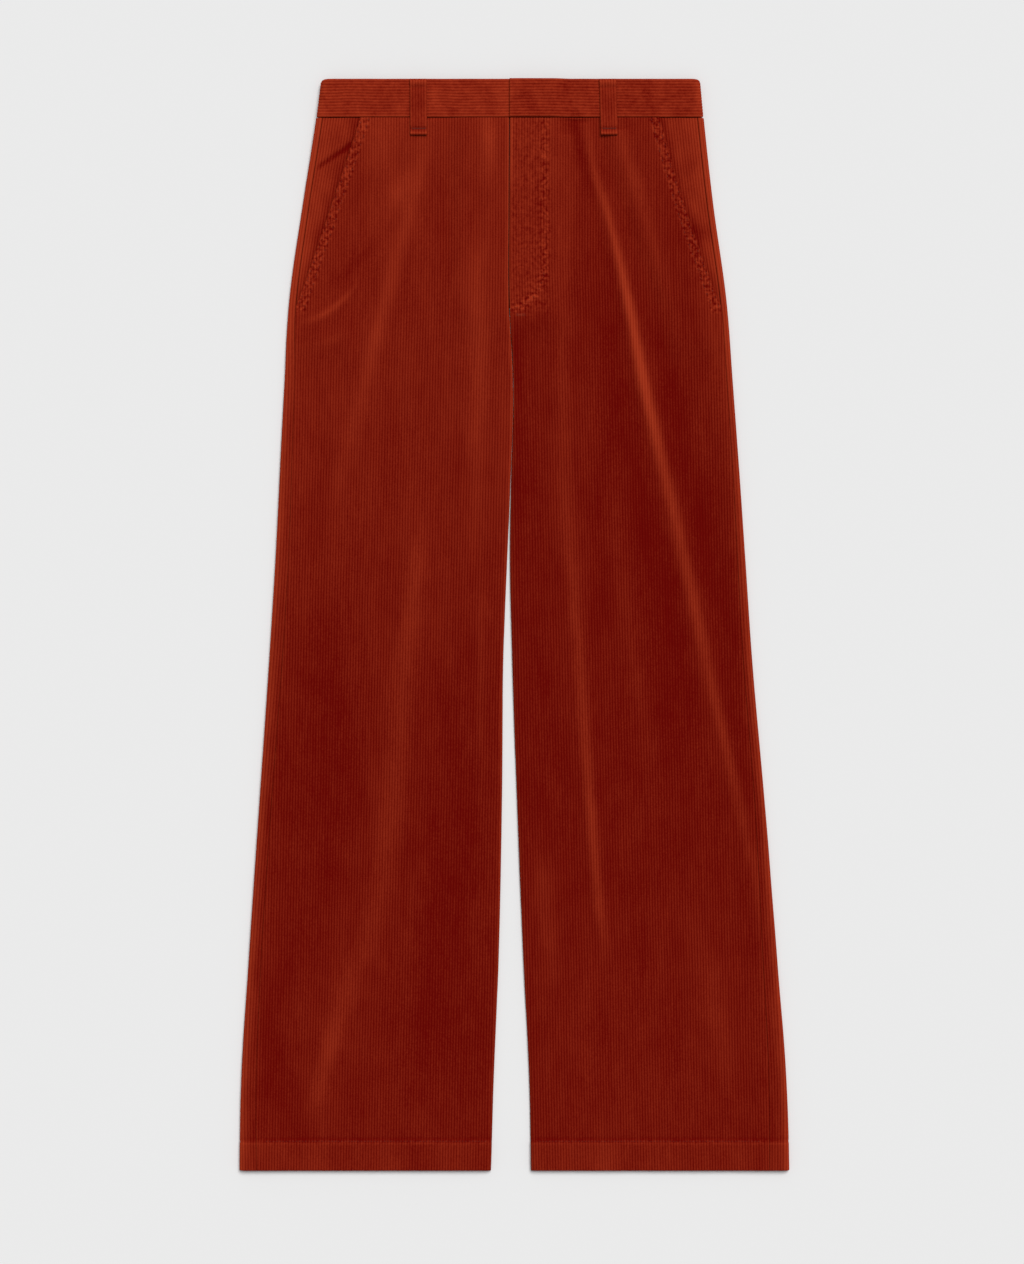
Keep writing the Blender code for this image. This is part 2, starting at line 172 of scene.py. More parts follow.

# Folds of the front, with painted highlights on their crests and painted shade in their troughs. Each point
# of a crest gives x, down, the level of painted light there, negative for painted shade, and the half width
# of that. The height is that of the relief under it.
Streak = namedtuple("Streak", "side height points")
STREAKS = (
    Streak(1, 2.7, (
        (70, 43, 0.15, 5), (79, 91, 0.35, 4.5), (94, 141, 0.50, 4.5), (112, 221, 0.85, 5),
        (126, 294, 0.95, 5.5), (144, 373, 0.55, 6), (166, 468, 0.42, 6.5), (188, 569, 0.38, 6.5),
        (206, 649, 0.33, 6), (221, 714, 0.28, 6), (235, 780, 0.15, 6), (252, 888, 0, 6),
    )),
    Streak(1, 1.2, (
        (50, 54, 0.12, 9), (52, 127, 0.14, 9), (47, 221, 0.15, 8), (48, 287, 0.22, 7),
        (49, 388, 0.18, 9), (57, 490, 0.24, 8), (65, 584, 0.30, 6.5), (70, 656, 0.36, 5.5),
        (77, 743, 0.42, 5), (84, 816, 0.34, 5), (94, 874, 0, 7),
    )),
    Streak(1, 0.7, (
        (101, 50, 0.20, 8), (119, 102, 0.24, 8), (134, 156, 0.18, 8), (148, 207, 0.10, 9),
        (170, 290, 0, 10),
    )),
    Streak(1, 0.4, (
        (165, 165, 0, 8), (190, 230, 0.15, 9), (202, 320, 0.12, 8), (214, 420, 0, 8),
    )),
    Streak(1, 0.5, (
        (94, 388, 0, 10), (105, 490, 0.10, 9), (123, 598, 0.08, 9), (134, 678, 0, 9),
    )),
    Streak(1, 0.7, (
        (166, 801, 0, 14), (188, 874, 0.14, 14), (199, 925, 0.16, 14), (217, 997, 0, 14),
    )),
    Streak(1, 0.5, (
        (20, 720, 0, 9), (27, 790, 0.14, 10), (33, 850, 0.12, 10), (36, 900, 0, 10),
    )),
    Streak(1, 0.6, (
        (60, 40, -0.25, 7), (66, 75, -0.20, 7), (76, 120, 0, 7),
    )),
    Streak(1, 0.7, (
        (76, 110, 0, 10), (95, 272, -0.12, 14), (125, 431, -0.12, 16), (160, 600, -0.08, 20),
        (175, 720, 0, 20),
    )),
    Streak(1, 0.7, (
        (100, 120, 0, 8), (150, 290, -0.12, 12), (190, 470, -0.12, 13), (215, 562, -0.06, 10),
        (225, 620, 0, 10),
    )),
    Streak(1, 0.9, (
        (1, 235, 0, 7), (2, 270, -0.20, 7), (3, 400, -0.12, 7), (4, 530, 0, 7),
    )),
    Streak(-1, 1.4, (
        (-88, 40, 0.18, 8), (-93, 91, 0.20, 8), (-106, 141, 0.25, 8), (-120, 192, 0.22, 8),
        (-135, 250, 0.30, 8), (-149, 308, 0.22, 9), (-167, 373, 0.14, 9), (-182, 439, 0, 9),
    )),
    Streak(-1, 1.6, (
        (-84, 417, 0, 10), (-93, 453, 0.18, 9), (-96, 490, 0.30, 9), (-106, 562, 0.22, 12),
        (-113, 635, 0.20, 13), (-120, 707, 0.20, 15), (-128, 780, 0.18, 15),
        (-142, 838, 0.17, 14), (-167, 903, 0.20, 12), (-182, 954, 0.34, 10),
        (-193, 997, 0.26, 9), (-200, 1030, 0, 9),
    )),
    Streak(-1, 0.7, (
        (-108, 80, 0, 10), (-113, 110, 0.30, 12), (-124, 145, 0, 10),
    )),
    Streak(-1, 0.9, (
        (-212, 239, 0, 3.5), (-190, 232, 0.35, 3.5), (-172, 220, 0.38, 4), (-150, 198, 0, 4),
    )),
    Streak(-1, 0.5, (
        (-205, 262, 0, 5), (-180, 256, 0.15, 5), (-158, 246, 0, 5),
    )),
    Streak(-1, 0.5, (
        (-198, 192, 0, 5), (-180, 170, 0.15, 5), (-162, 148, 0, 5),
    )),
    Streak(-1, 0.8, (
        (-178, 152, 0, 5), (-160, 134, -0.20, 5), (-138, 112, -0.25, 6), (-109, 76, -0.20, 6),
        (-90, 58, 0, 5),
    )),
    Streak(-1, 0.6, (
        (-192, 206, 0, 6), (-165, 190, -0.15, 7), (-140, 165, -0.10, 7), (-122, 148, 0, 7),
    )),
    Streak(-1, 0.8, (
        (-30, 120, 0, 12), (-37, 185, 0.20, 11), (-33, 272, 0.24, 10), (-37, 337, 0.20, 10),
        (-37, 400, 0.10, 10), (-36, 470, 0, 8),
    )),
    Streak(-1, 0.5, (
        (-33, 460, 0, 5), (-33, 550, 0.14, 5), (-33, 640, 0.10, 5), (-35, 720, 0, 6),
    )),
    Streak(-1, 0.5, (
        (-26, 34, 0.20, 8), (-25, 58, 0.42, 8), (-24, 95, 0.10, 8), (-24, 125, 0, 8),
    )),
    Streak(-1, 0.3, (
        (-125, 34, 0.18, 20), (-128, 65, 0.20, 18), (-130, 100, 0, 16),
    )),
    Streak(-1, 0.5, (
        (-72, 45, 0, 9), (-70, 110, -0.12, 10), (-66, 180, -0.06, 12), (-66, 260, 0, 12),
    )),
    Streak(-1, 0.6, (
        (-187, 500, 0, 18), (-187, 584, -0.14, 20), (-182, 678, -0.12, 20),
        (-200, 800, -0.05, 18), (-235, 900, -0.10, 14), (-240, 990, -0.12, 13),
        (-242, 1035, 0, 12),
    )),
    Streak(-1, 0.4, (
        (-70, 560, 0, 18), (-66, 620, -0.08, 20), (-62, 760, -0.10, 30), (-66, 925, -0.12, 38),
        (-66, 1040, 0, 40),
    )),
    Streak(-1, 0.4, (
        (-12, 235, 0, 6), (-12, 330, 0.10, 6), (-14, 520, 0, 6),
    )),
)

Loop = namedtuple("Loop", "node front")
LOOPS = (
    Loop("belt_loop_front_right", True),
    Loop("belt_loop_front_left", True),
    Loop("belt_loop_side_back_right", False),
    Loop("belt_loop_side_back_left", False),
    Loop("belt_loop_centre_back", False),
)
LOOP_CLOTH = 1.6
LOOP_WIDTH = 16.5
LOOP_HUMP = 6.0
LOOP_ROLL = 3.4


# ---------------------------------------------------------------- reading the tables


def column(table, name, down):
    """A column of a table read at any depth, straight between its rows."""
    return np.interp(down, [row.down for row in table], [getattr(row, name) for row in table])


def through(knots, values, at):
    """A smooth curve through values at rising knots, read at any place."""
    knots, values, at = np.asarray(knots, float), np.asarray(values, float), np.asarray(at, float)
    slopes = np.gradient(values, knots)
    k = np.clip(np.searchsorted(knots, at) - 1, 0, len(knots) - 2)
    span = knots[k + 1] - knots[k]
    t = (at - knots[k]) / span
    near = (1 + 2 * t) * (1 - t) ** 2 * values[k] + t * (1 - t) ** 2 * span * slopes[k]
    far = t * t * (3 - 2 * t) * values[k + 1] + t * t * (t - 1) * span * slopes[k + 1]
    return near + far


def curve(table, name, down):
    """A column of a table read at any depth, on a smooth curve through its rows."""
    return through([row.down for row in table], [getattr(row, name) for row in table], down)


def ease(t):
    """0 below 0, 1 above 1 and a smooth step between."""
    t = np.clip(t, 0.0, 1.0)
    return t * t * (3 - 2 * t)


def hill(t):
    """A smooth hill, 1 at 0 and nearly 0 beyond 2."""
    return np.exp(-np.square(t))


def pinch(distance, radius):
    """How far a face of cloth turns in at its edge, where it is rounded to this radius."""
    t = 1 - np.clip(distance / radius, 0.0, 1.0)
    return radius * (1 - np.sqrt(np.maximum(1 - t * t, 0.0)))


def ripple(across, along, scale):
    """Irregular ripples from -1 to 1, about this many millimetres long."""
    a, b = across / scale, along / scale
    waves = np.sin(6.3 * a + 1.7 * np.sin(2.3 * b)) + np.sin(4.1 * b + 2.1 * np.sin(3.1 * a + 0.7))
    return 0.5 * waves * np.cos(1.9 * (a - b) + np.sin(0.9 * b))


def side_word(side):
    return "right" if side < 0 else "left"


def outer_edge(side, down):
    return curve(OUTLINE, side_word(side) + "_edge", down)


def wrap(side, down):
    return column(OUTLINE, side_word(side) + "_wrap", down)


def side_seam(side, down):
    return outer_edge(side, down) - side * wrap(side, down)


def inner_edge(side, down):
    """The fly edge, the rise seam and the inseam, drawn back a little along the fly."""
    opening = FLY_GAP * (1 - ease((down - FLY_END) / 12))
    return curve(OUTLINE, side_word(side) + "_inner", down) + side * opening


def front_boundary(side, down):
    """Outer edge of the front: the pocket opening, slightly scalloped, and then the side seam."""
    slant = np.clip(POCKET_END - down, 0.0, None) / (POCKET_END - PANEL_TOP)
    scallop = 0.3 * np.sin(down * 1.9 + np.sin(down * 0.31)) * np.minimum(slant * 8, 1)
    return side_seam(side, down) - side * (OPENING_GAP + POCKET_INSET * slant**0.85 + scallop)


# ---------------------------------------------------------------- heights of the front


def streaks(side, x, down):
    """Relief of the folds of a front, and the painted highlight and shade along them."""
    x, down = np.broadcast_arrays(np.asarray(x, float), np.asarray(down, float))
    relief, tone_and_painted_light = np.zeros(x.shape), np.zeros(x.shape)
    for streak in STREAKS:
        if streak.side != side:
            continue
        xs, downs, painted_levels, widths = np.array(streak.points, float).T
        steep = np.ptp(downs) > np.ptp(xs)
        knots, crest, along, across = (downs, xs, down, x) if steep else (xs, downs, x, down)
        held = np.clip(along, knots[0], knots[-1])
        off = across - through(knots, crest, held)
        width = np.interp(held, knots, widths)
        light = np.interp(along, knots, painted_levels, left=0, right=0)
        tone_and_painted_light += light * hill(off / width)
        relief += streak.height * light / np.max(np.abs(painted_levels)) * hill(off / width / 2)
    return relief, tone_and_painted_light


def facing_pad(side, x, down):
    inboard = side * (front_boundary(side, down) - x) - FACING_REACH - PAD_MARGIN
    return PAD_RISE * (1 - ease(inboard / PAD_FADE)) * (1 - ease((down - FACING_END - 4) / 35))


def fly_pad(side, x, down):
    spread = 1 - ease((np.abs(x - CENTRE) - FLY_REACH) / PAD_FADE)
    rise = PAD_RISE + (FLY_STEP if side > 0 else 0.0)
    return rise * spread * (1 - ease((down - FLY_END) / 35))


def edge_raise(side, x, down):
    room = column(LAYERS, "edge_room", down) - column(LAYERS, "loft", down)
    below_pocket = ease((down - FACING_END) / 40)
    return room * below_pocket * (1 - ease(side * (side_seam(side, down) - x) / 25))


def front_top(side, x, down):
    """Height of the front's outer face, before its wales, stitches and rounded edges."""
    level = column(LAYERS, "lift", down) + 2 * column(LAYERS, "cloth", down) + column(LAYERS, "loft", down)
    pads = facing_pad(side, x, down) + fly_pad(side, x, down)
    soft = 0.2 * ripple(x, down * 0.35, 60.0)
    return level + pads + soft + edge_raise(side, x, down) + streaks(side, x, down)[0]


def roll_share(down):
    """0 where the inner edge is a flat seam, 1 where it is the rounded inseam of a leg."""
    return ease((down - CROTCH) / 60)


def front_point(side, place, down, inner):
    """A point of the front; place runs across it, on round the roll at its inner edge."""
    share = roll_share(down)
    roll = EDGE_ROLL + (INSEAM_ROLL - EDGE_ROLL) * share
    turn = inner_edge(side, down) + side * roll
    beyond = np.clip(side * (turn - place), 0.0, None)
    flat = np.where(beyond > 0, turn, place)
    cloth = column(LAYERS, "cloth", down)
    top = front_top(side, flat, down)
    small = 0.8 * cloth
    drop = small + (np.maximum(top - cloth - SEAM_GAP, small) - small) * share
    angle = np.clip(beyond / roll_length(side, down), 0.0, 1.0) * math.pi / 2
    if not inner:
        return flat - side * roll * np.sin(angle), down + 0 * place, top - drop * (1 - np.cos(angle))
    reach = roll - share * np.minimum(cloth, roll - 0.3)
    rise = np.maximum(drop - cloth, 0.0) * share
    return flat - side * reach * np.sin(angle), down + 0 * place, top - cloth - rise * (1 - np.cos(angle))


def roll_length(side, down):
    """Length of cloth round the roll at the inner edge."""
    share = roll_share(down)
    return 2.2 + 5.6 * share


# ---------------------------------------------------------------- stitch lines


def j_line_distance(x, down):
    """Distance from the curved line of stitches that holds the fly."""
    straight = np.abs(x - CENTRE - 1.5 - J_ACROSS)
    around = np.hypot((x - CENTRE - 1.5) / J_ACROSS, (down - J_START) / J_DROP)
    curved = np.abs(around - 1) * (J_ACROSS + J_DROP) / 2
    return np.where(down < J_START, straight, curved)


def front_details(side, x, down):
    """Grooves of the stitching on a front, the highlights and shade painted along them and along the hem,
    and where they pucker the cloth.
    """
    depth = np.zeros(np.broadcast(x, down).shape)
    tone_and_painted_light = np.zeros_like(depth)
    pucker = np.zeros_like(depth)
    inset = side * (front_boundary(side, down) - x) * 0.93
    pocket = 1 - ease((down - POCKET_END - 4) / 6)
    for line in POCKET_STITCHES:
        depth -= 0.4 * pocket * hill((inset - line) / 0.8)
    band = ease(inset / 1.2) * (1 - ease((inset - 8.5) / 3.5)) * pocket
    depth += 0.3 * band * ripple(inset * 0.6, down, 7.0)
    # The puckered band by the pocket opening gets a little painted highlight.
    tone_and_painted_light += 0.1 * band
    pucker += band
    hem = hill((down - HEM_LINE + 1) / 1.1)
    crumple = ripple(x, down * 2, 9.0)
    depth += hem * (-0.4 + 0.2 * crumple)
    # Hem: a painted highlight just below the stitches, painted shade just above them, and a lighter painted
    # band over the thick hem.
    tone_and_painted_light += 0.28 * hill((down - HEM_LINE - 1.2) / 1.0) * (0.7 + 0.5 * crumple)
    tone_and_painted_light -= 0.12 * hill((down - HEM_LINE + 3.2) / 1.8)
    tone_and_painted_light += 0.12 * ease((down - HEM_LINE) / 3) * (1 + 0.9 * ripple(x, 0 * down, 55.0))
    pucker += 0.5 * hem
    if side > 0:
        away = j_line_distance(x, down)
        fly = (1 - ease((down - J_START - J_DROP - 3) / 5)) * ease((x - CENTRE) / 4)
        near = hill(away / 4.5) * fly
        depth += near * 0.3 * ripple(x * 1.2, down, 8.0) - 0.4 * fly * hill(away / 0.8)
        # Painted highlights along the J stitching.
        tone_and_painted_light += 0.06 * near + 0.3 * fly * hill(away / 2.2) * ease((down - 200) / 15)
        pucker += near * (0.55 + 0.45 * ease((down - 170) / 30))
        pucker += 0.35 * fly * (1 - ease((x - CENTRE - J_ACROSS - 2) / 8))
        tack = hill((x - CENTRE - 11) / 4.5) * hill((down - 231) / 1.1)
        depth += 0.5 * tack
        # Painted highlight on the bartack.
        tone_and_painted_light += 0.5 * tack
    return depth, tone_and_painted_light, pucker


def front_tone_and_painted_light(side, x, down):
    """Painted light and shade of a front, with a little random mottle: 0 is deep red, 1 is bright orange.
    """
    tone_and_painted_light = streaks(side, x, down)[1] + column(SHADES, side_word(side), down)
    # Painted sheen along the rolled outer edge.
    outer = side * (outer_edge(side, down) - x)
    tone_and_painted_light += 0.25 * hill(outer / 9) + 0.35 * hill(outer / 4)
    # Painted highlight along the inner edge, fainter towards the hem.
    inner = side * (x - inner_edge(side, down))
    above = 1 - ease((down - 900) / 150)
    tone_and_painted_light += (0.5 if side < 0 else 0.25) * hill(inner / 2.2) * (0.35 + 0.65 * above)
    if side > 0:
        # Painted light beside the zip, and a painted highlight on the fly edge near the top.
        zip_side = (1 - ease((x - CENTRE - J_ACROSS - 6) / 16)) * (1 - ease((down - 205) / 40))
        tone_and_painted_light += 0.16 * zip_side
        tone_and_painted_light += 0.3 * hill((inner - 1) / 2.5) * (1 - ease((down - 95) / 15))
    # Faint painted highlight along the side seam below the pocket.
    tone_and_painted_light += 0.08 * hill(side * (side_seam(side, down) - x) / 3) * ease((down - FACING_END) / 30)
    return tone_and_painted_light + 0.05 * ripple(x, down * 0.3, 45.0)


# ---------------------------------------------------------------- meshes


def normals(point, place, down, sign):
    """Outward unit normals of a surface given as a function of place and depth, in (x, down, z)."""
    step = 0.05
    across = np.array(point(place + step, down)) - np.array(point(place - step, down))
    along = np.array(point(place, down + step)) - np.array(point(place, down - step))
    cross = np.cross(across, along, axis=0) * sign
    return cross / np.maximum(np.linalg.norm(cross, axis=0), 1e-9)


def triangles(grid):
    """Two triangles for each cell of a grid of vertex numbers."""
    a, b = grid[:-1, :-1].ravel(), grid[:-1, 1:].ravel()
    c, d = grid[1:, 1:].ravel(), grid[1:, :-1].ravel()
    return np.concatenate([np.stack([a, b, c], 1), np.stack([a, c, d], 1)])


def rim(outer_line, inner_line, skip):
    """Triangles between an outer line of vertices and an inner line with every skip-th of them."""
    found = []
    for k in range(len(outer_line) - 1):
        owner = inner_line[k // skip]
        found.append((outer_line[k], owner, outer_line[k + 1]))
        if (k + 1) % skip == 0:
            found.append((owner, inner_line[k // skip + 1], outer_line[k + 1]))
    return np.array(found)


def shell(name, outer, inner, skip, marks, material):
    """A closed mesh between an outer grid (rows, columns, xyz) and an inner one with every skip-th column.

    marks are named values over the outer grid: crown, the painted light and tone, and pucker.
    """
    rows, columns = outer.shape[:2]
    inner = inner[:, ::skip]
    top = np.arange(rows * columns).reshape(rows, columns)
    under = rows * columns + np.arange(inner.shape[0] * inner.shape[1]).reshape(inner.shape[:2])
    faces = [triangles(top), triangles(under)[:, ::-1]]
    faces.append(rim(top[0], under[0], skip))
    faces.append(rim(top[-1], under[-1], skip)[:, ::-1])
    faces.append(rim(top[:, 0], under[:, 0], 1)[:, ::-1])
    faces.append(rim(top[:, -1], under[:, -1], 1))
    faces = np.concatenate(faces)
    points = np.concatenate([outer.reshape(-1, 3), inner.reshape(-1, 3)])
    points = points * (MM, -MM, MM) + (0.0, LENGTH / 2 * MM, 0.0)
    hidden = np.zeros(inner[..., 0].size)
    shape = (rows, columns)
    marks = {key: np.append(np.broadcast_to(mark, shape).ravel(), hidden) for key, mark in marks.items()}
    _, first, index = np.unique(np.round(points, 6), axis=0, return_index=True, return_inverse=True)
    faces = index.reshape(-1)[faces]
    points = points[first]
    whole = (faces[:, 0] != faces[:, 1]) & (faces[:, 1] != faces[:, 2]) & (faces[:, 2] != faces[:, 0])
    faces = faces[whole]
    corners = points[faces]
    volume = np.einsum("ij,ij->i", corners[:, 0], np.cross(corners[:, 1], corners[:, 2])).sum()
    if volume < 0:
        faces = faces[:, ::-1]
    mesh = bpy.data.meshes.new(name)
    mesh.from_pydata(points.tolist(), [], faces.tolist())
    mesh.update()
    for key, mark in marks.items():
        attribute = mesh.attributes.new(key, "FLOAT", "POINT")
        attribute.data.foreach_set("value", mark[first].astype(np.float32))
    mesh.shade_smooth()
    mesh.materials.append(material)
    obj = bpy.data.objects.new(name, mesh)
    bpy.context.scene.collection.objects.link(obj)
    return obj


def wale_columns(low, high, pitch, profile=WALE_PROFILE):
    """Places across the wales from low to high, and how near each is to a crown, 0 to 1."""
    count = math.ceil((high - low) / pitch)
    places = [(low + (k + share) * pitch, up) for k in range(count) for share, up in profile]
    across = [place for place, _ in places] + [low + count * pitch]
    crown = [up for _, up in places] + [0.0]
    return np.array(across), np.array(crown)


def clamp_columns(place, low, high, crown):
    """Columns past an edge are drawn onto it, at half the height of a wale."""
    outside = (place <= low) | (place >= high)
    return np.clip(place, low, high), np.where(outside, 0.5, crown)


def steps(*stretches):
    """Depths from stretches of (start, end, step), each end counted once."""
    found = []
    for start, end, step in stretches:
        found += list(np.linspace(start, end, max(1, round((end - start) / step)), endpoint=False))
    return np.array(found + [stretches[-1][1]])


def stack(x, down, z):
    return np.stack(np.broadcast_arrays(x, down, z), axis=-1)


FRONT_ROWS = steps(
    (PANEL_TOP, PANEL_TOP + 2, 0.4),
    (PANEL_TOP + 2, 262, 2.2),
    (262, HEM_LINE - 6, 8.5),
    (HEM_LINE - 6, HEM_LINE + 5, 0.9),
    (HEM_LINE + 5, LENGTH - 2, 4.0),
    (LENGTH - 2, LENGTH, 0.33),
)


def place_front(side, material):
    down = FRONT_ROWS[:, None]
    span = (-275.0, 5.0) if side < 0 else (-12.0, 275.0)
    columns, crown = wale_columns(*span, WALE)
    lean = side * WALE_LEAN * np.maximum(down - LEAN_START, 0)
    wander = 0.35 * ripple(down * 0.5, 0 * down, 70.0)
    ends = [front_boundary(side, down), inner_edge(side, down)]
    turn = ends[1] + side * (EDGE_ROLL + (INSEAM_ROLL - EDGE_ROLL) * roll_share(down))
    ends[1] = turn - side * roll_length(side, down)
    low, high = (ends[0], ends[1]) if side < 0 else (ends[1], ends[0])
    place, crown = clamp_columns(columns[None, :] + lean + wander, low, high, crown[None, :])
    outer = np.array(front_point(side, place, down, False))
    normal = normals(lambda p, d: front_point(side, p, d, False), place, down, 1)
    depth, detail_painted_light, pucker = front_details(side, outer[0], down)
    relief = WALE_CROWN - WALE_HEIGHT * (1 - crown) + depth
    cloth = column(LAYERS, "cloth", down)
    boundary = side * (front_boundary(side, down) - place)
    opening = 1 - ease((down - POCKET_END) / 12)
    lip = pinch(boundary, 0.45 * cloth) * (0.35 + 0.65 * opening)
    tuck = lip + pinch(down - PANEL_TOP, 0.7) + pinch(LENGTH - down, 0.48 * cloth)
    outer = outer + normal * relief
    outer[2] -= tuck
    inner = np.array(front_point(side, place, down, True))
    inner[2] += 0.9 * (lip + pinch(LENGTH - down, 0.48 * cloth))
    # Painted light and shade of the front, with a little random tone, go to the material as a vertex
    # attribute.
    tone_and_painted_light = front_tone_and_painted_light(side, outer[0], down) + detail_painted_light
    name = f"cloth_front_{side_word(side)}"
    marks = {"crown": crown, "tone_and_painted_light": tone_and_painted_light, "pucker": pucker}
    made = shell(name, stack(*outer), stack(*inner), 4, marks, material)
    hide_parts(f"front_{side_word(side)}")
    return made


def folded_point(side, place, down, sizes, inner):
    """A layer folded over at the outer edge.

    place runs from the layer's end on top, round the fold and back underneath.

    sizes are: first x on top, x of the outer edge, floor, top, cloth, reach of the fold, rise of the top.
    """
    start, edge, floor, top, cloth, reach, rise = sizes
    turn = edge - side * reach
    level = side * (turn - start)
    half = (top - floor) / 2
    arc = math.pi * np.sqrt((reach**2 + half**2) / 2)
    angle = np.clip((place - level) / arc, 0.0, 1.0) * math.pi
    on_top = place < level
    under = np.clip(place - level - arc, 0.0, None)
    thin = cloth if inner else 0.0
    x = turn + side * (reach - thin) * np.sin(angle) - side * under
    x = np.where(on_top, start + side * place, x)
    z = floor + half + (half - thin) * np.cos(angle)
    z = z + np.where(on_top, rise(start + side * place), 0.0)
    return x, down + 0 * place, z


def flat_rise(x):
    return 0.0 * x


def place_back(side, material):
    down = steps(
        (PANEL_TOP, PANEL_TOP + 2, 0.5),
        (PANEL_TOP + 2, HEM_LINE - 6, 8.0),
        (HEM_LINE - 6, HEM_LINE + 5, 1.2),
        (HEM_LINE + 5, LENGTH - 2, 4.0),
        (LENGTH - 2, LENGTH, 0.33),
    )[:, None]
    cloth = column(LAYERS, "cloth", down)
    floor = column(LAYERS, "lift", down)
    top = floor + 2 * cloth + column(LAYERS, "edge_room", down)
    reach = np.minimum(FOLD_REACH, wrap(side, down) - 0.2)
    sizes = (side_seam(side, down), outer_edge(side, down), floor, top, cloth, reach, flat_rise)
    seen, seen_crown = wale_columns(0.0, 16 * WALE, WALE)
    hidden, hidden_crown = wale_columns(seen[-1], 290.0, WALE, ((0.0, 0.0), (0.5, 1.0)))
    columns = np.concatenate([seen[:-1], hidden])
    crown = np.concatenate([seen_crown[:-1], hidden_crown])
    arc = math.pi * np.sqrt((reach**2 + ((top - floor) / 2) ** 2) / 2)
    flat = side * (outer_edge(side, down) - side * reach - curve(OUTLINE, side_word(side) + "_inner", down))
    last = wrap(side, down) - reach + arc + flat
    place, crown = clamp_columns(columns[None, :], 0.0, last, crown[None, :])
    outer = np.array(folded_point(side, place, down, sizes, False))
    normal = normals(lambda p, d: folded_point(side, p, d, sizes, False), place, down, side)
    hem_dip = -0.4 * hill((down - HEM_LINE + 1) / 1.1)
    underneath = ease((place - wrap(side, down)) / 4)
    relief = WALE_CROWN * (1 - underneath) - WALE_HEIGHT * (1 - crown) + hem_dip * (1 - underneath)
    outer = outer + normal * relief
    tuck = pinch(place, 0.45) + pinch(down - PANEL_TOP, 0.7) + pinch(LENGTH - down, 0.48 * cloth)
    outer = outer - normal * tuck
    inner = np.array(folded_point(side, place, down, sizes, True))
    edge = side * (outer_edge(side, down) - outer[0])
    # Painted light: sheen along the rolled outer edge, lighter towards the waist, and at the hem a painted
    # highlight below the stitches and painted shade above them; the ripple is random tone.
    tone_and_painted_light = column(SHADES, side_word(side), down) + 0.3 * hill(edge / 9) + 0.4 * hill(edge / 4)
    tone_and_painted_light = tone_and_painted_light + 0.18 * (1 - ease((down - 200) / 120)) + 0.12 * ease((down - HEM_LINE) / 3)
    tone_and_painted_light = tone_and_painted_light + 0.28 * hill((down - HEM_LINE - 1.2) / 1.0) - 0.1 * hill((down - HEM_LINE + 3.2) / 1.8)
    tone_and_painted_light = tone_and_painted_light + 0.1 * ripple(place * 3, down * 0.5, 40.0)
    name = f"cloth_back_{side_word(side)}"
    marks = {"crown": crown, "tone_and_painted_light": tone_and_painted_light, "pucker": 0.0}
    made = shell(name, stack(*outer), stack(*inner), 2, marks, material)
    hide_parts(f"back_{side_word(side)}")
    return made


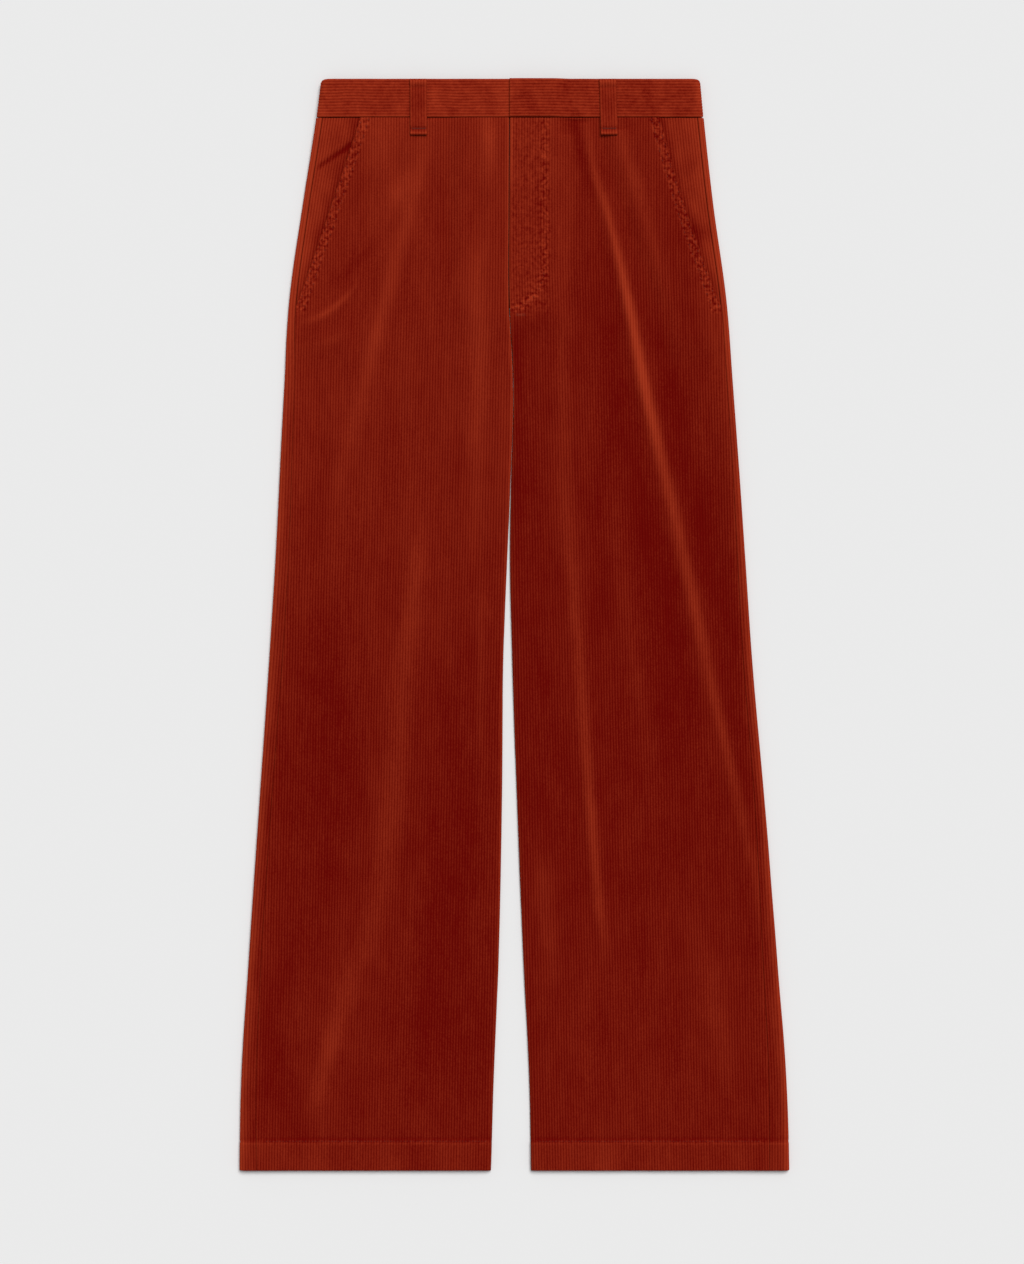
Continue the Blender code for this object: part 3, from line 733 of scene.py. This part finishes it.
def place_waistband(side, material):
    rows, crown = wale_columns(0.0, BAND_DEPTH - 0.01, BAND_WALE)
    rows = np.concatenate([[0.0, 0.15], rows[1:-1], [BAND_DEPTH - 0.15, BAND_DEPTH]])
    crown = np.concatenate([[0.5, 0.6], crown[1:-1], [0.6, 0.5]])
    down = rows[:, None]
    lap = BAND_CLOTH + 2 * SEAM_GAP
    start = CENTRE + BAND_LAP if side < 0 else CENTRE + FLY_GAP

    def rise(x):
        climb = lap * (1 - ease((x - CENTRE - BAND_LAP - 1.2) / 22)) if side > 0 else 0.0 * x
        return climb + 0.3 * ripple(x, 0 * x, 40.0) * np.minimum(np.abs(x - CENTRE) / 10, 1)

    corner = 4.5 * (1 - np.sqrt(1 - (1 - np.clip(down / 4.5, 0, 1)) ** 2))
    edge = outer_edge(side, down) - side * corner
    sizes = (start, edge, BAND_FLOOR, BAND_TOP, BAND_CLOTH, FOLD_REACH, rise)
    arc = math.pi * math.sqrt((FOLD_REACH**2 + ((BAND_TOP - BAND_FLOOR) / 2) ** 2) / 2)
    level = side * (edge - side * FOLD_REACH - start)
    last = level + arc + side * (edge - side * FOLD_REACH - CENTRE) - SEAM_GAP / 2
    longest = float(last.max())
    columns = np.concatenate([[0.0, 0.2, 0.6, 1.2], np.arange(3.0, longest, 2.6), [longest]])
    share = columns[None, :] / longest
    place = share * last
    shift = 0.55 * ripple(place, down * 0.6, 55.0) * np.sin(math.pi * down / BAND_DEPTH)
    outer = np.array(folded_point(side, place, down + shift, sizes, False))
    normal = normals(lambda p, d: folded_point(side, p, d, sizes, False), place, down, side)
    underneath = ease((place - level) / arc)
    seam_dip = 0.5 * hill((down - BAND_DEPTH) / 1.6)
    relief = WALE_CROWN * (1 - underneath) - WALE_HEIGHT * (1 - crown[:, None]) - seam_dip
    end = pinch(place, 1.3)
    tuck = end + pinch(down, 1.35) + pinch(BAND_DEPTH - down, 1.35)
    outer = outer + normal * (relief - tuck)
    inner = np.array(folded_point(side, place, down + shift, sizes, True))
    inner = inner + 0.85 * normal * tuck
    x = outer[0]
    # Painted light on the band: the wearer's right half lighter, sheen at the fold, painted highlights
    # along the top edge, the lower edge and by the centre front; the ripples are random tone.
    tone_and_painted_light = (0.52 if side < 0 else 0.42) + 0.25 * hill(side * (edge - x) / 8)
    tone_and_painted_light = tone_and_painted_light + 0.15 * hill((down - 1.0) / 2.0) + 0.3 * hill((down - BAND_DEPTH + 1.1) / 0.9)
    tone_and_painted_light = tone_and_painted_light + 0.16 * ripple(x, down, 26.0) + 0.1 * ripple(x * 0.6, down * 3, 12.0)
    tone_and_painted_light = tone_and_painted_light + (0.25 * hill(place / 2.5) if side > 0 else 0.18 * hill((x - CENTRE) / 14))
    marks = {"crown": crown[:, None], "tone_and_painted_light": tone_and_painted_light, "pucker": 0.25}
    name = f"cloth_waistband_{side_word(side)}"
    made = shell(name, stack(*outer), stack(*inner), 1, marks, material)
    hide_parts(f"waistband_{side_word(side)}")
    return made


# ---------------------------------------------------------------- pocket facings and belt loops


def place_facing(side, material):
    down = steps(
        (PANEL_TOP, PANEL_TOP + 2, 0.5),
        (PANEL_TOP + 2, 120, 2.0),
        (120, FACING_END, 5.0),
    )[:, None]
    columns, crown = wale_columns(0.0, 80.0, WALE)
    seam = side_seam(side, down) - side * SEAM_GAP
    last = side * (seam - front_boundary(side, down)) + FACING_REACH
    place, crown = clamp_columns(columns[None, :], 0.0, last, crown[None, :])
    x = seam - side * place
    bag_top = column(LAYERS, "lift", down) + CLOTH + SEAM_GAP + BAG_CLOTH
    crease = hill((down - 78 + 0.75 * (place - 14)) / 3.4) if side < 0 else 0.5 * hill((down - 150) / 9)
    crease = crease * (ease(place / 6) if side < 0 else 1.0)
    seen = side * (x - front_boundary(side, down)) > -2
    top = bag_top + SEAM_GAP + CLOTH + np.where(seen, 0.25 * ripple(x, down, 28.0), 0.0) - 0.9 * crease
    # Where painted shadow falls on the facing, beside the pocket opening.
    shade = hill(side * (x - front_boundary(side, down)) / 5.0)
    relief = WALE_CROWN - WALE_HEIGHT * (1 - crown) - pinch(place, 0.7) - pinch(down - PANEL_TOP, 0.7)
    outer = stack(x, down, top + relief)
    inner = stack(x, down, np.maximum(top - CLOTH, bag_top + 0.1))
    # Painted light on the facing: sheen near the side seam, painted shade in the crease and painted shadow
    # by the opening; the ripple is random tone.
    tone_and_painted_light = 0.42 + 0.2 * hill(place / 9) - 0.55 * crease - 0.25 * shade + 0.1 * ripple(x, down, 30.0)
    marks = {"crown": crown, "tone_and_painted_light": tone_and_painted_light, "pucker": 0.0}
    made = shell(f"cloth_facing_{side_word(side)}", outer, inner, 4, marks, material)
    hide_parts(f"pocket_facing_{side_word(side)}")
    return made


def place_loop(loop, material):
    low, high = node_box(loop.node)
    width = LOOP_WIDTH
    top_end = LENGTH / 2 - high[1]
    last = LENGTH / 2 - low[1]
    columns, crown = wale_columns(-width / 2, width / 2 - 0.01, width / 6)
    trim = [-width / 2, -width / 2 + 0.12], [width / 2 - 0.12, width / 2]
    columns = np.concatenate([trim[0], columns[1:-1], trim[1]])
    crown = np.concatenate([[0.5, 0.6], crown[1:-1], [0.6, 0.5]])
    down = steps((top_end, top_end + 2, 0.4), (top_end + 2, last - 2, 0.9), (last - 2, last, 0.33))[:, None]
    slant = (high[0] - low[0] - width) / (last - top_end) * (down - top_end)
    x = columns[None, :] + low[0] + width / 2 + slant
    edges = np.minimum(down - top_end, last - down)
    sides = width / 2 - np.abs(columns)[None, :]
    tuck = pinch(edges, 0.75) + pinch(sides, 0.75)
    relief = 0.8 * WALE_HEIGHT * (crown[None, :] - 1)
    crown = np.broadcast_to(crown[None, :], x.shape)
    if loop.front:
        side = -1 if x.mean() < CENTRE else 1
        nearby = [front_top(side, x.mean() + off, np.maximum(down, PANEL_TOP)) for off in (-8, -4, 0, 4, 8)]
        panel = np.max(nearby, axis=0)
        step = ease((down - BAND_DEPTH) / 6)
        floor = SEAM_GAP + WALE_CROWN + BAND_TOP + step * (panel - BAND_TOP)
        hump = hill((down - top_end - 3) / 3.2) * 1.1 - 0.5 * hill((down - top_end - LOOP_HUMP - 3) / 1.8)
        tack = 0.8 * hill((down - last + LOOP_ROLL + 3) / 1.6)
        roll = 0.9 * hill((down - last + LOOP_ROLL / 2) / 1.5)
        top = floor + LOOP_CLOTH + hump + roll - tack + relief - tuck
        inner = floor + 0.8 * tuck
        # Painted light on a front loop: highlights on the hump at the top, on the rolled lower end and
        # along the sides, painted shade at the tack, and darker about 24 mm down.
        tone_and_painted_light = 0.4 + 0.4 * hill((down - top_end - 3) / 2.6)
        tone_and_painted_light = tone_and_painted_light - 0.25 * hill((down - last + LOOP_ROLL + 3) / 2.0)
        tone_and_painted_light = tone_and_painted_light + 0.35 * hill((down - last + LOOP_ROLL / 2) / 1.2) + 0.15 * hill((sides - 1.2) / 1.0)
        tone_and_painted_light = tone_and_painted_light - 0.12 * hill((down - 24) / 9)
        outer = stack(x, down, top)
    else:
        outer = stack(x, down, -relief + tuck)
        inner = LOOP_CLOTH - 0.8 * tuck
        tone_and_painted_light = 0.3
    marks = {"crown": crown, "tone_and_painted_light": tone_and_painted_light, "pucker": 0.2}
    made = shell(f"cloth_{loop.node}", outer, stack(x, down, inner), 1, marks, material)
    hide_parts(loop.node)
    return made


# ---------------------------------------------------------------- materials

# The first colour is the cloth's own deep red; the second is the orange of painted sheen and highlights.
DEEP = (0.128, 0.0026, 0.0016)
PAINTED_SHEEN_ORANGE = (0.330, 0.0330, 0.0110)
FUZZ = (0.90, 0.13, 0.04)


def noise(tree, vector, scale, detail, rough=0.5):
    node = tree.nodes.new("ShaderNodeTexNoise")
    node.inputs["Scale"].default_value = scale
    node.inputs["Detail"].default_value = detail
    node.inputs["Roughness"].default_value = rough
    tree.links.new(vector, node.inputs["Vector"])
    return node.outputs["Fac"]


def math_node(tree, operation, first, second):
    node = tree.nodes.new("ShaderNodeMath")
    node.operation = operation
    for socket, value in zip(node.inputs, (first, second)):
        if isinstance(value, (int, float)):
            socket.default_value = value
        else:
            tree.links.new(value, socket)
    return node.outputs[0]


def mix_colour(tree, factor, first, second, blend="MIX"):
    node = tree.nodes.new("ShaderNodeMix")
    node.data_type = "RGBA"
    node.blend_type = blend
    node.clamp_factor = True
    for socket, value in ((node.inputs[0], factor), (node.inputs[6], first), (node.inputs[7], second)):
        if isinstance(value, (int, float)):
            socket.default_value = value
        elif isinstance(value, tuple):
            socket.default_value = (*value, 1.0)
        else:
            tree.links.new(value, socket)
    return node.outputs[2]


def attribute(tree, name):
    node = tree.nodes.new("ShaderNodeAttribute")
    node.attribute_name = name
    return node.outputs["Fac"]


def corduroy_material(name, along):
    """Corduroy whose wales run along Y (along = 1) or X (along = 0): pile, grooves and fuzz, with the nap's
    sheen and the folds' light and shade painted into its colour.
    """
    material = bpy.data.materials.new(name)
    material.use_nodes = True
    tree = material.node_tree
    shader = tree.nodes["Principled BSDF"]
    place = tree.nodes.new("ShaderNodeTexCoord").outputs["Object"]
    stretch = tree.nodes.new("ShaderNodeMapping")
    stretch.inputs["Scale"].default_value = (1.0, 0.12, 1.0) if along else (0.12, 1.0, 1.0)
    tree.links.new(place, stretch.inputs["Vector"])
    threads_of_pile = noise(tree, stretch.outputs[0], 330.0, 3.0, 0.6)
    mottle = noise(tree, place, 30.0, 3.0, 0.55)
    fuzz = noise(tree, place, 850.0, 2.0, 0.6)
    cells = noise(tree, place, 300.0, 1.0, 0.5)
    crown = attribute(tree, "crown")
    pucker = attribute(tree, "pucker")
    # The attribute carries painted light and shade, with some random tone.
    amount = attribute(tree, "tone_and_painted_light")
    # Wale crowns are lifted toward orange as a painted highlight; the three noises are random tone of the
    # pile.
    shares = ((crown, 0.55, 0.34), (threads_of_pile, 0.5, 0.35), (mottle, 0.5, 0.22), (fuzz, 0.5, 0.7))
    for source, middle, share in shares:
        offset = math_node(tree, "SUBTRACT", source, middle)
        amount = math_node(tree, "ADD", amount, math_node(tree, "MULTIPLY", offset, share))
    # The puckers' light and shade are painted into the colour here, besides their bump.
    gathers = math_node(tree, "MULTIPLY", math_node(tree, "SUBTRACT", cells, 0.5), pucker)
    amount = math_node(tree, "ADD", amount, math_node(tree, "MULTIPLY", gathers, 2.2))
    colour = mix_colour(tree, amount, DEEP, PAINTED_SHEEN_ORANGE)
    # Grooves darker, from the cloth's own darker ground between the cords plus painted shade; crowns a
    # little lighter, as a painted highlight.
    groove_tone_and_painted_shade = mix_colour(tree, crown, (0.86, 0.62, 0.62), (1.04, 1.10, 1.10))
    colour = mix_colour(tree, 1.0, colour, groove_tone_and_painted_shade, "MULTIPLY")
    tree.links.new(colour, shader.inputs["Base Color"])
    shader.inputs["Roughness"].default_value = 0.95
    shader.inputs["Specular IOR Level"].default_value = 0.0
    shader.inputs["Sheen Weight"].default_value = 0.35
    shader.inputs["Sheen Roughness"].default_value = 0.35
    shader.inputs["Sheen Tint"].default_value = (*FUZZ, 1.0)
    bump = tree.nodes.new("ShaderNodeBump")
    bump.inputs["Strength"].default_value = 0.55
    bump.inputs["Distance"].default_value = 0.0003
    pile = math_node(tree, "ADD", fuzz, threads_of_pile)
    height = math_node(tree, "ADD", pile, math_node(tree, "MULTIPLY", gathers, 5.0))
    tree.links.new(height, bump.inputs["Height"])
    tree.links.new(bump.outputs["Normal"], shader.inputs["Normal"])
    return material


def woven_material(name, colour, scale):
    """Plain woven cotton: a fine over-and-under weave in one colour."""
    material = bpy.data.materials.new(name)
    material.use_nodes = True
    tree = material.node_tree
    shader = tree.nodes["Principled BSDF"]
    place = tree.nodes.new("ShaderNodeTexCoord").outputs["Object"]
    waves = []
    for axis in ("X", "Y"):
        wave = tree.nodes.new("ShaderNodeTexWave")
        wave.bands_direction = axis
        wave.inputs["Scale"].default_value = scale
        wave.inputs["Distortion"].default_value = 0.4
        tree.links.new(place, wave.inputs["Vector"])
        waves.append(wave.outputs["Fac"])
    weave = math_node(tree, "MULTIPLY", *waves)
    dark = tuple(0.6 * part for part in colour)
    tree.links.new(mix_colour(tree, weave, dark, colour), shader.inputs["Base Color"])
    shader.inputs["Roughness"].default_value = 0.9
    bump = tree.nodes.new("ShaderNodeBump")
    bump.inputs["Distance"].default_value = 0.0002
    tree.links.new(weave, bump.inputs["Height"])
    tree.links.new(bump.outputs["Normal"], shader.inputs["Normal"])
    return material


def floor_material():
    material = bpy.data.materials.new("floor")
    material.use_nodes = True
    shader = material.node_tree.nodes["Principled BSDF"]
    shader.inputs["Base Color"].default_value = (0.80, 0.80, 0.80, 1.0)
    shader.inputs["Roughness"].default_value = 1.0
    shader.inputs["Specular IOR Level"].default_value = 0.0
    return material


# ---------------------------------------------------------------- stitches


def tube(points, radius, sides=5):
    """A closed tapered thread through a few points: vertices and faces."""
    points = np.array(points, float)
    forward = np.gradient(points, axis=0)
    forward /= np.linalg.norm(forward, axis=1)[:, None]
    across = np.cross(forward, (0.0, 0.0, 1.0))
    across /= np.maximum(np.linalg.norm(across, axis=1)[:, None], 1e-9)
    up = np.cross(across, forward)
    vertices, faces = [], []
    for k, point in enumerate(points):
        size = radius * (0.55 if k in (0, len(points) - 1) else 1.0)
        for s in range(sides):
            turn = 2 * math.pi * s / sides
            vertices.append(point + size * (math.cos(turn) * across[k] + math.sin(turn) * up[k]))
    for k in range(len(points) - 1):
        for s in range(sides):
            a, b = k * sides + s, k * sides + (s + 1) % sides
            faces.append((a, b, b + sides, a + sides))
    faces.append(tuple(range(sides - 1, -1, -1)))
    faces.append(tuple(range((len(points) - 1) * sides, len(points) * sides)))
    return vertices, faces


def threads(name, stitches, radius, material):
    """One mesh of many short threads, each given as a few (x, down, z) points."""
    vertices, faces = [], []
    for stitch in stitches:
        made, sides = tube(stitch, radius)
        faces += [tuple(k + len(vertices) for k in face) for face in sides]
        vertices += made
    points = np.array(vertices) * (MM, -MM, MM) + (0.0, LENGTH / 2 * MM, 0.0)
    mesh = bpy.data.meshes.new(name)
    mesh.from_pydata(points.tolist(), [], [face[::-1] for face in faces])
    mesh.update()
    mesh.shade_smooth()
    mesh.materials.append(material)
    obj = bpy.data.objects.new(name, mesh)
    bpy.context.scene.collection.objects.link(obj)
    return obj


def seam_line(route, length, gap, height):
    """Stitches along a route of (x, down): each dips into the cloth at its ends."""
    route = np.array(route, float)
    run = np.concatenate([[0], np.cumsum(np.linalg.norm(np.diff(route, axis=0), axis=1))])
    stitches = []
    for start in np.arange(0, run[-1] - length, length + gap):
        at = start + np.linspace(0, length, 5)
        x, down = np.interp(at, run, route[:, 0]), np.interp(at, run, route[:, 1])
        arch = 0.28 * np.sin(np.linspace(0, math.pi, 5)) - 0.25
        stitches.append(np.stack([x, down, height(x, down) + arch], axis=1))
    return stitches


def front_height(side):
    def height(x, down):
        depth, _, _ = front_details(side, x, down)
        return front_top(side, x, down) + depth - 0.1

    return height


def place_front_stitches(side, material):
    down = np.linspace(PANEL_TOP + 1, POCKET_END + 3, 60)
    found = []
    for line in POCKET_STITCHES:
        route = np.stack([front_boundary(side, down) - side * line / 0.93, down], axis=1)
        found += seam_line(route, 2.3, 0.9, front_height(side))
    if side > 0:
        turn = np.linspace(0, math.pi / 2, 24)
        curved = np.stack([CENTRE + 1.5 + J_ACROSS * np.cos(turn), J_START + J_DROP * np.sin(turn)], axis=1)
        straight = [(CENTRE + 1.5 + J_ACROSS, d) for d in np.linspace(PANEL_TOP + 1, J_START, 20)]
        found += seam_line([*straight, *curved[1:-2]], 2.3, 0.9, front_height(side))
        for k in range(9):
            x = CENTRE + 7 + k
            ends = np.array([x, x + 0.5]), np.array([230.0, 232.4])
            found.append(np.stack([*ends, front_height(side)(*ends) + 0.35], axis=1))
    across = np.linspace(side_seam(side, HEM_LINE), inner_edge(side, HEM_LINE), 50)[2:-1]
    route = np.stack([across, np.full(len(across), HEM_LINE - 1.0)], axis=1)
    found += seam_line(route, 2.2, 1.0, front_height(side))
    return threads(f"stitches_front_{side_word(side)}", found, 0.24, material)


def place_loop_tacks(loop, obj, material):
    """The close zigzag that holds the lower end of a front loop."""
    low, high = node_box(loop.node)
    last = LENGTH / 2 - low[1]
    slant = high[0] - low[0] - LOOP_WIDTH
    middle = low[0] + LOOP_WIDTH / 2 + slant
    points = np.array([vertex.co[:] for vertex in obj.data.vertices]) / MM
    at = last - LOOP_ROLL - 3
    near = points[np.abs(LENGTH / 2 - points[:, 1] - at) < 1.2]
    top = near[:, 2].max()
    found = []
    for k in range(24):
        x = middle - 6.6 + k * 13.2 / 23
        found.append([(x, at - 0.9, top - 0.3), (x + 0.15, at, top - 0.02), (x + 0.3, at + 0.9, top - 0.3)])
    return threads(f"stitches_{loop.node}", found, 0.2, material)


# ---------------------------------------------------------------- building


def area_between(low, high, start, end):
    """Flat area, in square metres, between two edges given as functions of depth."""
    down = np.linspace(start, end, 200)
    return float(np.trapz(np.abs(high(down) - low(down)), down)) * MM * MM


def declare(piece):
    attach(piece, "root")
    "corduroy_band" if "band" in piece.name or "loop" in piece.name else "corduroy"


def build_trousers():
    legs = corduroy_material("corduroy_legs", 1)
    band = corduroy_material("corduroy_waist", 0)
    thread = woven_material("thread", (0.30, 0.030, 0.010), 900.0)
    for side in (-1, 1):
        word = side_word(side)
        back = place_back(side, legs)
        inner = lambda d, s=side: curve(OUTLINE, side_word(s) + "_inner", d)
        cut = area_between(inner, lambda d, s=side: outer_edge(s, d) + s * wrap(s, d), PANEL_TOP, LENGTH)
        declare(back)
        facing = place_facing(side, legs)
        cut = area_between(
            lambda d, s=side: side_seam(s, d),
            lambda d, s=side: front_boundary(s, d) - s * FACING_REACH,
            PANEL_TOP,
            FACING_END,
        )
        declare(facing)
        front = place_front(side, legs)
        cut = area_between(inner, lambda d, s=side: front_boundary(s, d), PANEL_TOP, LENGTH)
        declare(front)
        stitches = place_front_stitches(side, thread)
        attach(stitches, "root")
        waist = place_waistband(side, band)
        declare(waist)
    for loop in LOOPS:
        made = place_loop(loop, legs)
        declare(made)
        if loop.front:
            tacks = place_loop_tacks(loop, made, thread)
            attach(tacks, "root")


def finish_hidden_nodes():
    """The CAD pieces that stay: shield, zip and pocket bags."""
    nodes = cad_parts
    shield = woven_material("shield_cotton", (0.16, 0.010, 0.005), 700.0)
    cotton = woven_material("pocket_cotton", (0.20, 0.050, 0.030), 1400.0)
    tape = woven_material("zip_cotton", (0.14, 0.006, 0.003), 900.0)
    for names, material in (
        (("fly_shield",), shield),
        (("pocket_bag_right", "pocket_bag_left"), cotton),
        (("fly_zip",), tape),
    ):
        for name in names:
            nodes[name].data.materials.clear()
            nodes[name].data.materials.append(material)


def build_stage():
    mesh = bpy.data.meshes.new("floor")
    size = 6.0
    low = -0.0003
    corners = [(-size, -size, low), (size, -size, low), (size, size, low), (-size, size, low)]
    mesh.from_pydata(corners, [], [(0, 1, 2, 3)])
    mesh.materials.append(floor_material())
    floor = bpy.data.objects.new("floor", mesh)
    bpy.context.scene.collection.objects.link(floor)


def build_lights():
    world = bpy.data.worlds.new("studio")
    world.use_nodes = True
    world.node_tree.nodes["Background"].inputs["Color"].default_value = (1.0, 1.0, 1.0, 1.0)
    world.node_tree.nodes["Background"].inputs["Strength"].default_value = 0.34
    bpy.context.scene.world = world
    lamp = bpy.data.lights.new("key", "SUN")
    lamp.energy = 2.55
    lamp.angle = math.radians(34)
    key = bpy.data.objects.new("key", lamp)
    key.rotation_euler = Vector((-0.26, -0.55, -1.0)).to_track_quat("-Z", "Y").to_euler()
    bpy.context.scene.collection.objects.link(key)


def build_camera():
    """Straight above the garment, as wide as the photograph's framing."""
    lens = bpy.data.cameras.new("camera")
    lens.lens = 85.0
    lens.sensor_width = 36.0
    tall = LENGTH * 1.1565 * MM
    height = tall / 2 / (lens.sensor_width / 2 / lens.lens)
    camera = bpy.data.objects.new("camera", lens)
    middle = (CAD_LOW + CAD_HIGH) / 2
    camera.location = (middle.x - 2.4 * MM, middle.y - 6.9 * MM, height + BAND_TOP * MM)
    lens.clip_end = 20.0
    bpy.context.scene.collection.objects.link(camera)
    bpy.context.scene.camera = camera


build_camera()
build_stage()
build_lights()
build_trousers()
finish_hidden_nodes()
bpy.context.scene.view_settings.view_transform = "Standard"
